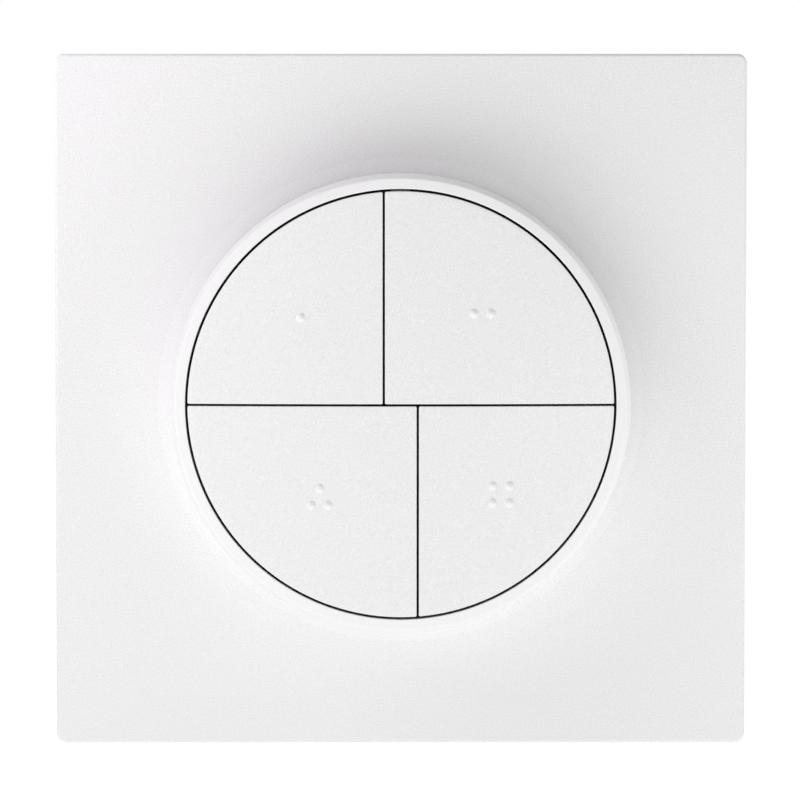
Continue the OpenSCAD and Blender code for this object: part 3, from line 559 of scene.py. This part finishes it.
def capMesh(number):
    low, high = reach("button_cap_%d" % number)
    sideX, sideY = (1 if high[0] > capRadius / 2 else -1), (1 if high[1] > capRadius / 2 else -1)
    eu, ev = (low[0] if sideX > 0 else -high[0]), (low[1] if sideY > 0 else -high[1])
    rear = bezelFront - caps["depth"]

    def flat(points, out):
        return [onWall(sideX * u, sideY * v, out) for u, v in points]

    def domed(points, drop):
        return [onWall(sideX * u, sideY * v, domeOut(u, v) - drop) for u, v in points]

    edge, ease = caps["edge"], caps["rearEase"]
    back = capOutline(eu, ev, caps["wall"])
    loops = [flat(back, rear + caps["hollow"]), flat(back, rear), flat(capOutline(eu, ev, ease), rear),
             flat(capOutline(eu, ev, 0), rear + ease)]
    for k in range(caps["edgeSteps"] + 1):
        a = math.radians(90 * k / caps["edgeSteps"])
        loops.append(domed(capOutline(eu, ev, edge * (1 - math.cos(a))), edge * (1 - math.sin(a))))
    front = capOutline(eu, ev, edge)
    centre = [sum(p[i] for p in front) / len(front) for i in (0, 1)]
    for k in range(1, caps["rings"]):
        share = 1 - k / caps["rings"]
        loops.append(domed([(centre[0] + (u - centre[0]) * share, centre[1] + (v - centre[1]) * share)
                            for u, v in front], 0))
    bm = bmesh.new()
    loft(bm, loops, capStart=True, capEnd=True)
    press = (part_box("switch_plunger_%d" % number)[0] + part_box("switch_plunger_%d" % number)[1]) / 2
    x0, up0 = press.x / mm, press.z / mm
    foot, tip = rear + caps["hollow"] + caps["root"], capLow[2]
    post, postEase = caps["post"], caps["postEase"]
    postTip = reach("switch_plunger_%d" % number)[1][2] + caps["postGap"]
    around = [math.radians(360 * k / caps["postSteps"]) for k in range(caps["postSteps"])]
    loft(bm, [[onWall(x0 + r * math.cos(a), up0 + r * math.sin(a), out) for a in around]
              for r, out in ((post - postEase, postTip), (post, postTip + postEase), (post, foot))],
         capStart=True, capEnd=True)
    leg, barb, barbTop = caps["hookLeg"] / 2, caps["hookBarb"], tip + caps["hookBarbHeight"]
    hookEase, hookLead = caps["hookEase"], caps["hookLead"]
    for way in (-1, 1):  # snap hooks either side of the post, barbs outwards
        side = [(-leg, foot), (-leg, tip), (leg - hookEase, tip), (leg + hookLead, tip + hookEase),
                (leg + barb, barbTop - hookEase), (leg + barb, barbTop), (leg, barbTop), (leg, foot)]
        loft(bm, [[onWall(x0 + way * (caps["hookSpan"] + s), up0 + up, out) for s, out in side]
                  for up in (-caps["hookWidth"] / 2, caps["hookWidth"] / 2)], capStart=True, capEnd=True)
    return meshFrom(bm)


for number in (1, 2, 3, 4):
    showPiece("buttonCap%d" % number, capMesh(number), "capAbsShadedGaps", "button_%d" % number,
              ["button_cap_%d" % number], crease=50)
print("button caps built")


def dotTree():  # soft domes standing on the caps, square to the dome's surface
    tree, given = startTree("dotTree", {
        "Foot radius": "NodeSocketFloat", "Height": "NodeSocketFloat", "Fullness": "NodeSocketFloat",
        "Sink": "NodeSocketFloat", "Dome centre": "NodeSocketVector", "Material": "NodeSocketMaterial"})
    cone = addNode(tree, "GeometryNodeMeshCone", {
        "Vertices": 48, "Side Segments": 14, "Radius Top": 0, "Radius Bottom": given["Foot radius"], "Depth": 0})
    place = addNode(tree, "GeometryNodeInputPosition").outputs["Position"]
    flatPlace = addNode(tree, "ShaderNodeVectorMath", {0: place, 1: (1, 1, 0)}, operation="MULTIPLY")
    radius = addNode(tree, "ShaderNodeVectorMath", {0: flatPlace.outputs["Vector"]}, operation="LENGTH")
    share = addNode(tree, "ShaderNodeMath", {
        0: radius.outputs["Value"], 1: given["Foot radius"]}, operation="DIVIDE")
    squared = addNode(tree, "ShaderNodeMath", {0: share.outputs["Value"], 1: 2}, operation="POWER")
    fall = addNode(tree, "ShaderNodeMath", {0: 1, 1: squared.outputs["Value"]}, operation="SUBTRACT", use_clamp=True)
    bell = addNode(tree, "ShaderNodeMath", {0: fall.outputs["Value"], 1: given["Fullness"]}, operation="POWER")
    rise = addNode(tree, "ShaderNodeMath", {0: bell.outputs["Value"], 1: given["Height"]}, operation="MULTIPLY")
    lowered = addNode(tree, "ShaderNodeMath", {0: rise.outputs["Value"], 1: given["Sink"]}, operation="SUBTRACT")
    up = addNode(tree, "ShaderNodeCombineXYZ", {"Z": lowered.outputs["Value"]})
    dot = addNode(tree, "GeometryNodeSetPosition", {"Geometry": cone.outputs["Mesh"], "Offset": up.outputs["Vector"]})
    spot = addNode(tree, "GeometryNodeInputPosition").outputs["Position"]
    away = addNode(tree, "ShaderNodeVectorMath", {0: spot, 1: given["Dome centre"]}, operation="SUBTRACT")
    lean = addNode(tree, "FunctionNodeAlignRotationToVector", {"Vector": away.outputs["Vector"]}, axis="Z")
    points = addNode(tree, "GeometryNodeMeshToPoints", {"Mesh": given["Geometry"]})
    placed = addNode(tree, "GeometryNodeInstanceOnPoints", {
        "Points": points.outputs["Points"], "Instance": dot.outputs["Geometry"],
        "Rotation": lean.outputs["Rotation"]})
    return endTree(tree, given, placed.outputs["Instances"])


# Tactile dots that count the buttons, at the middle of each cap's area
dots = {"pitch": 2.07, "footRadius": 0.61, "height": 0.34, "fullness": 1.12, "sink": 0.02,
        "middles": {1: (-12.25, 10.75), 2: (9.98, 11.22), 3: (-9.96, -11.24), 4: (12.27, -10.95)},
        "steps": {1: [(0, 0)], 2: [(-0.5, 0), (0.5, 0)], 3: [(0, 0.5), (-0.5, -0.5), (0.5, -0.5)],
                  4: [(-0.5, 0.5), (0.5, 0.5), (-0.5, -0.5), (0.5, -0.5)]}}
dotNodes = dotTree()
for number, steps in dots["steps"].items():
    middle = dots["middles"][number]
    places = [(middle[0] + dots["pitch"] * i, middle[1] + dots["pitch"] * j) for i, j in steps]
    spots = pointMesh([onWall(x, up, domeOut(x, up)) for x, up in places])
    made = runTree(dotNodes, spots, {
        "Foot radius": dots["footRadius"] * mm, "Height": dots["height"] * mm, "Fullness": dots["fullness"],
        "Sink": dots["sink"] * mm, "Dome centre": onWall(0, 0, domeTop - domeRadius),
        "Material": finish["capAbsShadedGaps"]})
    showPiece("tactileDots%d" % number, made, "capAbsShadedGaps", "button_%d" % number, crease=60)
print("tactile dots placed")


def screwTree():  # cuts a cross recess into a turned screw and sets one at every point
    tree, given = startTree("screwTree", {
        "Screw": "NodeSocketObject", "Recess length": "NodeSocketFloat", "Recess width": "NodeSocketFloat",
        "Recess depth": "NodeSocketFloat", "Material": "NodeSocketMaterial"})
    body = addNode(tree, "GeometryNodeObjectInfo", {"Object": given["Screw"]}, transform_space="ORIGINAL")
    deep = addNode(tree, "ShaderNodeMath", {0: given["Recess depth"], 1: 2}, operation="MULTIPLY")
    cut = body.outputs["Geometry"]
    for long, wide in (("X", "Z"), ("Z", "X")):
        size = addNode(tree, "ShaderNodeCombineXYZ", {
            long: given["Recess length"], wide: given["Recess width"], "Y": deep.outputs["Value"]})
        blade = addNode(tree, "GeometryNodeMeshCube", {"Size": size.outputs["Vector"]})
        cut = addNode(tree, "GeometryNodeMeshBoolean", {
            "Mesh 1": cut, "Mesh 2": blade.outputs["Mesh"]}, operation="DIFFERENCE", solver="EXACT").outputs["Mesh"]
    points = addNode(tree, "GeometryNodeMeshToPoints", {"Mesh": given["Geometry"]})
    placed = addNode(tree, "GeometryNodeInstanceOnPoints", {"Points": points.outputs["Points"], "Instance": cut})
    return endTree(tree, given, placed.outputs["Instances"])


# Screws, drawn from the head's face: section corners as (radius, depth from the face, rounding)
screws = {"recessLength": 2, "recessWidth": 0.5, "recessDepth": 0.6, "segments": 40,
          "frameSection": [(0.001, 0, 0), (2.1, 0, 0.06), (1, 1.1, 0.1), (1, 4.6, 0), (0.6, 4.9, 0), (0.001, 4.9, 0)],
          "puckSection": [(0.001, 0, 0), (1.9, 0, 0.45), (1.9, 1.2, 0.05), (1, 1.2, 0.1), (1, 7.5, 0), (0.6, 7.8, 0),
                          (0.001, 7.8, 0)]}
screwNodes = screwTree()


def screwSet(name, section, node, body):
    face = reach(node)[0][2]
    middles = {}
    for vertex in nodes[node].data.vertices:  # one screw in each quarter of the frame
        quarter = (vertex.co.x > 0, vertex.co.z > 0)
        middles.setdefault(quarter, []).append(vertex.co)
    places = [onWall((min(c.x for c in group) + max(c.x for c in group)) / 2 / mm,
                     (min(c.z for c in group) + max(c.z for c in group)) / 2 / mm, face)
              for _, group in sorted(middles.items())]
    one = bpy.data.objects.new("oneScrew", turnedMesh(section, screws["segments"], "zincScrew"))
    bpy.context.scene.collection.objects.link(one)
    made = runTree(screwNodes, pointMesh(places), {
        "Screw": one, "Recess length": screws["recessLength"] * mm, "Recess width": screws["recessWidth"] * mm,
        "Recess depth": screws["recessDepth"] * mm, "Material": finish["zincScrew"]})
    bpy.data.objects.remove(one)
    showPiece(name, made, "zincScrew", body, [node], crease=35)


screwSet("frameScrews", screws["frameSection"], "frame_screws", "base")
screwSet("puckScrews", screws["puckSection"], "puck_screws", "puck")
print("screws set")


# Moulded and stamped pieces that keep their CAD shape, with every sharp edge eased as the real tool leaves it
eased = {
    "dockCup": {"node": "dock", "body": "base", "finish": "dockAbs", "slot": "smooth_white", "ease": 0.2,
                "within": (30.2, 20)},
    "steelDisc": {"node": "steel_disc", "body": "base", "finish": "zincSheet", "slot": "steel", "ease": 0.08},
    "backPlate": {"node": "back_plate", "body": "base", "finish": "regroundAbs", "slot": "back_grey", "ease": 0.15},
    "rearCover": {"node": "rear_cover", "body": "puck", "finish": "toolFinishAbs", "slot": "rear_white", "ease": 0.12,
                  "within": (26, 9.5)},
    "batteryDoor": {"node": "battery_door", "body": "door", "finish": "toolFinishAbs", "slot": "rear_white",
                    "ease": 0.15},
    "magnetDiscs": {"node": "magnets", "body": "puck", "finish": "nickelPlate", "slot": "nickel", "ease": 0.15},
    "switchCovers": {"node": "switch_covers", "body": "puck", "finish": "tinPlate", "slot": "steel", "ease": 0.05},
    "chipParts": {"node": "smd_parts", "body": "puck", "finish": "ceramic", "slot": "component", "ease": 0.08},
    "keyFrame": {"node": "key_frame", "body": "puck", "finish": "blackNylon", "slot": "black_plastic",
                 "ease": 0.08},
    "statusLens": {"node": "status_led", "body": "puck", "finish": "lens", "slot": "led_lens", "ease": 0.06},
    "positiveSpring": {"node": "positive_contact", "body": "puck", "finish": "springBronze", "slot": "contact_metal",
                       "ease": 0.03},
    "negativeSpring": {"node": "negative_contact", "body": "puck", "finish": "springBronze", "slot": "contact_metal",
                       "ease": 0.03},
}
for number in (1, 2, 3, 4):
    eased["switchBody%d" % number] = {"node": "switch_body_%d" % number, "body": "puck", "finish": "blackNylon",
                                      "slot": "black_plastic", "ease": 0.1}
    eased["switchPlunger%d" % number] = {"node": "switch_plunger_%d" % number, "body": "plunger_%d" % number,
                                         "finish": "acetal", "slot": "plunger", "ease": 0.1}


toolEdge = {"sharp": 35, "weld": 0.0002, "flat": 0.3, "segments": 3}  # which corners are eased, and how finely
anywhere = (1000, 1000)


def edgeChains(bm, within):  # outside corners inside a radius and below a height off the wall, in joined chains
    sharp = math.radians(toolEdge["sharp"])
    left = {edge for edge in bm.edges if edge.is_manifold and edge.calc_face_angle_signed(0) > sharp
            and all(math.hypot(v.co.x, v.co.z) < within[0] * mm and -v.co.y < within[1] * mm for v in edge.verts)}
    chains = []
    for first in [edge for edge in bm.edges if edge in left]:
        if first not in left:
            continue
        left.discard(first)
        chain = [first]
        for edge in chain:
            for other in [e for v in edge.verts for e in v.link_edges if e in left]:
                left.discard(other)
                chain.append(other)
        chains.append(chain)
    return chains


def easedMesh(node, ease, within=anywhere):
    bm = bmesh.new()
    bm.from_mesh(nodes[node].data)
    bmesh.ops.remove_doubles(bm, verts=bm.verts, dist=toolEdge["weld"] * mm)
    bmesh.ops.dissolve_limit(bm, angle_limit=math.radians(toolEdge["flat"]), verts=bm.verts, edges=bm.edges)
    mark = bm.edges.layers.int.new("chain")
    chains = edgeChains(bm, within)
    for number, chain in enumerate(chains):
        for edge in chain:
            edge[mark] = number + 1
    for number in range(len(chains)):  # a short chain's limit doesn't thin the others
        chain = [edge for edge in bm.edges if edge[mark] == number + 1]
        bmesh.ops.bevel(bm, geom=chain, offset=ease * mm, offset_type="OFFSET", segments=toolEdge["segments"],
                        profile=0.5, affect="EDGES", clamp_overlap=True)
        for edge in bm.edges:
            if edge[mark] == number + 1:
                edge[mark] = 0
    bm.edges.layers.int.remove(mark)
    mesh = meshFrom(bm)
    if "custom_normal" in mesh.attributes:
        mesh.attributes.remove(mesh.attributes["custom_normal"])
    return mesh


for name, piece in eased.items():
    mesh = easedMesh(piece["node"], piece["ease"], piece.get("within", anywhere))
    showPiece(name, mesh, piece["finish"], piece["body"], [piece["node"]], crease=35)
    print(name, "eased:", len(mesh.polygons), "faces")


def drillTree():  # round holes into a blank at every point, square to the wall
    tree, given = startTree("drillTree", {
        "Blank": "NodeSocketObject", "Hole radius": "NodeSocketFloat", "Depth": "NodeSocketFloat",
        "Material": "NodeSocketMaterial"})
    blank = addNode(tree, "GeometryNodeObjectInfo", {"Object": given["Blank"]}, transform_space="ORIGINAL")
    deep = addNode(tree, "ShaderNodeMath", {0: given["Depth"], 1: 2}, operation="MULTIPLY")
    bit = addNode(tree, "GeometryNodeMeshCylinder", {
        "Vertices": 20, "Radius": given["Hole radius"], "Depth": deep.outputs["Value"]})
    level = addNode(tree, "GeometryNodeTransform", {
        "Geometry": bit.outputs["Mesh"], "Rotation": (math.radians(90), 0, 0)})
    points = addNode(tree, "GeometryNodeMeshToPoints", {"Mesh": given["Geometry"]})
    bits = addNode(tree, "GeometryNodeInstanceOnPoints", {
        "Points": points.outputs["Points"], "Instance": level.outputs["Geometry"]})
    real = addNode(tree, "GeometryNodeRealizeInstances", {"Geometry": bits.outputs["Instances"]})
    cut = addNode(tree, "GeometryNodeMeshBoolean", {
        "Mesh 1": blank.outputs["Geometry"], "Mesh 2": real.outputs["Geometry"]},
        operation="DIFFERENCE", solver="EXACT")
    return endTree(tree, given, cut.outputs["Mesh"])


# Radio module: solder notches at the board's ends and vent holes in its can, counted from each piece's middle
drilled = {
    "radioBoard": {"node": "radio_board", "finish": "board", "slot": "board_green", "ease": 0.04, "radius": 0.3,
                   "depth": 1, "columns": (-7, 7), "pitch": 1.27, "rows": 6},
    "radioShield": {"node": "radio_shield", "finish": "tinPlate", "slot": "steel", "ease": 0.25, "radius": 0.4,
                    "depth": 0.4, "columns": (-3.3, -1.1, 1.1, 3.3), "pitch": 2, "rows": 2},
}
drillNodes = drillTree()
for name, piece in drilled.items():
    low, high = reach(piece["node"])
    rows = [piece["pitch"] * (k - (piece["rows"] - 1) / 2) for k in range(piece["rows"])]
    spots = pointMesh([onWall((low[0] + high[0]) / 2 + x, (low[1] + high[1]) / 2 + up, high[2])
                       for x in piece["columns"] for up in rows])
    blank = bpy.data.objects.new("blank", easedMesh(piece["node"], piece["ease"]))
    bpy.context.scene.collection.objects.link(blank)
    made = runTree(drillNodes, spots, {
        "Blank": blank, "Hole radius": piece["radius"] * mm, "Depth": piece["depth"] * mm,
        "Material": finish[piece["finish"]]})
    bpy.data.objects.remove(blank)
    showPiece(name, made, piece["finish"], "puck", [piece["node"]], crease=35)
    print(name, "drilled:", len(made.polygons), "faces")

# Materials of the CAD nodes that stay
nodeFinish = {"coin_cell": "drawnStainless", "adhesive_sheet": "foam", "circuit_board": "board"}
for node, name in nodeFinish.items():
    nodes[node].data.materials.clear()
    nodes[node].data.materials.append(finish[name])
print("CAD nodes dressed:", len(nodeFinish))

# Camera at the photograph's viewing angle, measured from the middle of the plate's front
view = {"distance": 600, "azimuth": -0.10, "elevation": 3.55, "aim": (-0.08, -0.02), "lens": 216.72, "sensor": 36,
        "clip": (10, 10000)}
turn, tilt = math.radians(view["azimuth"]), math.radians(view["elevation"])
back = Vector((math.sin(turn) * math.cos(tilt), -math.cos(turn) * math.cos(tilt), math.sin(tilt)))
right = Vector((math.cos(turn), math.sin(turn), 0))
upward = back.cross(right)
camera = bpy.data.objects.new("camera", bpy.data.cameras.new("camera"))
bpy.context.scene.collection.objects.link(camera)
spot = onWall(0, 0, plateFront) + (
    back * view["distance"] + right * view["aim"][0] + upward * view["aim"][1]) * mm
camera.matrix_world = Matrix((right, upward, back)).transposed().to_4x4()
camera.location = spot
camera.data.lens = view["lens"]
camera.data.sensor_width = view["sensor"]
camera.data.clip_start, camera.data.clip_end = [reachOut * mm for reachOut in view["clip"]]
bpy.context.scene.camera = camera

# Lamps: level is the share of full white that a lamp gives a surface square to it
lamps = {
    "upperLeftBox": {"side": -66, "height": 35, "distance": 160, "size": 120, "level": 0.325, "tint": "#FDF4FD"},
    "leftBox": {"side": -48, "height": -18, "distance": 115, "size": 70, "level": 0.07},
    "rightBox": {"side": 60, "height": -10, "distance": 110, "size": 70, "level": 0.11},
}
middle = onWall(0, 0, plateFront)


def skyDirection(source):  # from the plate towards a lamp or glow, side and height in degrees
    side, height = math.radians(source["side"]), math.radians(source["height"])
    return Vector((math.sin(side) * math.cos(height), -math.cos(side) * math.cos(height), math.sin(height)))


for name, lamp in lamps.items():
    towards = skyDirection(lamp)
    light = bpy.data.lights.new(name, "AREA")
    light.shape, light.size = "DISK", lamp["size"] * mm
    light.energy = lamp["level"] * (math.pi * lamp["distance"] * mm) ** 2
    light.color = hexLinear(lamp.get("tint", "#FFFFFF"))[:3]
    holder = bpy.data.objects.new(name, light)
    bpy.context.scene.collection.objects.link(holder)
    holder.location = middle + towards * lamp["distance"] * mm
    holder.rotation_euler = towards.to_track_quat("Z", "Y").to_euler()
    holder.visible_camera = False

# Surroundings: soft glows on a pale dome light the object, plain white to the eye. Level is a glow's share of
# full white at its middle, spread how fast it fades from there
glows = {
    "lowFront": {"side": 0, "height": -45, "spread": 5, "level": 1.52},
    "lowCorner": {"side": -38, "height": -40, "spread": 10, "level": 0.94},
    "rightSide": {"side": 105, "height": 0, "spread": 6, "level": 1.1},
    "behind": {"side": 180, "height": 0, "spread": 3, "level": 0.8},
}
room = {"ambient": 0.375, "floorSize": 3000, "floorTone": "#A8A8A8", "floorRoughness": 0.9, "floorGlow": 0.86,
        "floorShade": 0.6}
world = bpy.data.worlds.new("studio")
bpy.context.scene.world = world
world.use_nodes = True
world.node_tree.nodes.clear()


def seenDirectly(tree):  # 1 for rays from the camera, in reflections and through clear parts
    path = addNode(tree, "ShaderNodeLightPath").outputs
    mirrored = addNode(tree, "ShaderNodeMath", {
        0: path["Is Camera Ray"], 1: path["Is Glossy Ray"]}, operation="MAXIMUM")
    return addNode(tree, "ShaderNodeMath", {
        0: mirrored.outputs["Value"], 1: path["Is Transmission Ray"]}, operation="MAXIMUM").outputs["Value"]


tree = world.node_tree
heading = addNode(tree, "ShaderNodeTexCoord").outputs["Generated"]
total = addNode(tree, "ShaderNodeCombineXYZ", {axis: room["ambient"] for axis in "XYZ"}).outputs["Vector"]
for glow in glows.values():
    facing = addNode(tree, "ShaderNodeVectorMath", {0: heading, 1: skyDirection(glow)}, operation="DOT_PRODUCT")
    front = addNode(tree, "ShaderNodeMath", {0: facing.outputs["Value"], 1: 0}, operation="MAXIMUM")
    fade = addNode(tree, "ShaderNodeMath", {0: front.outputs["Value"], 1: glow["spread"]}, operation="POWER")
    tint = [c * glow["level"] for c in hexLinear(glow.get("tint", "#FFFFFF"))[:3]]
    total = addNode(tree, "ShaderNodeVectorMath", {
        0: fade.outputs["Value"], 1: tint, 2: total}, operation="MULTIPLY_ADD").outputs["Vector"]
soft = addNode(tree, "ShaderNodeBackground", {"Color": total, "Strength": 1})
white = addNode(tree, "ShaderNodeBackground", {"Color": (1, 1, 1, 1), "Strength": 1})
mixed = addNode(tree, "ShaderNodeMixShader", {
    0: seenDirectly(tree), 1: soft.outputs["Background"], 2: white.outputs["Background"]})
addNode(tree, "ShaderNodeOutputWorld", {"Surface": mixed.outputs["Shader"]})

floorMaterial, tree, shader, _ = startMaterial("paperSweep")
shader.inputs["Base Color"].default_value = hexLinear(room["floorTone"])
shader.inputs["Roughness"].default_value = room["floorRoughness"]
glow = addNode(tree, "ShaderNodeEmission", {"Strength": room["floorGlow"]})
shade = addNode(tree, "ShaderNodeMixShader", {0: room["floorShade"], 2: shader.outputs["BSDF"]})
paper = addNode(tree, "ShaderNodeAddShader", {0: shade.outputs["Shader"], 1: glow.outputs["Emission"]})
picked = addNode(tree, "ShaderNodeMixShader", {
    0: seenDirectly(tree), 1: shader.outputs["BSDF"], 2: paper.outputs["Shader"]})
output = next(node for node in tree.nodes if node.type == "OUTPUT_MATERIAL")
tree.links.new(picked.outputs["Shader"], output.inputs["Surface"])
half = room["floorSize"] / 2
floorMesh = bpy.data.meshes.new("floor")
floorLevel = plateLow[1]
floorMesh.from_pydata([onWall(x, floorLevel, out) for x, out in
                       ((-half, half), (half, half), (half, -half), (-half, -half))], [], [(0, 1, 2, 3)])
floorMesh.materials.append(floorMaterial)
floor = bpy.data.objects.new("floor", floorMesh)
bpy.context.scene.collection.objects.link(floor)
floor.visible_shadow = floor.visible_diffuse = False  # the light comes from low down, so the floor lets it through
bpy.context.scene.view_settings.view_transform = "Standard"
print("camera, lamps and floor set")
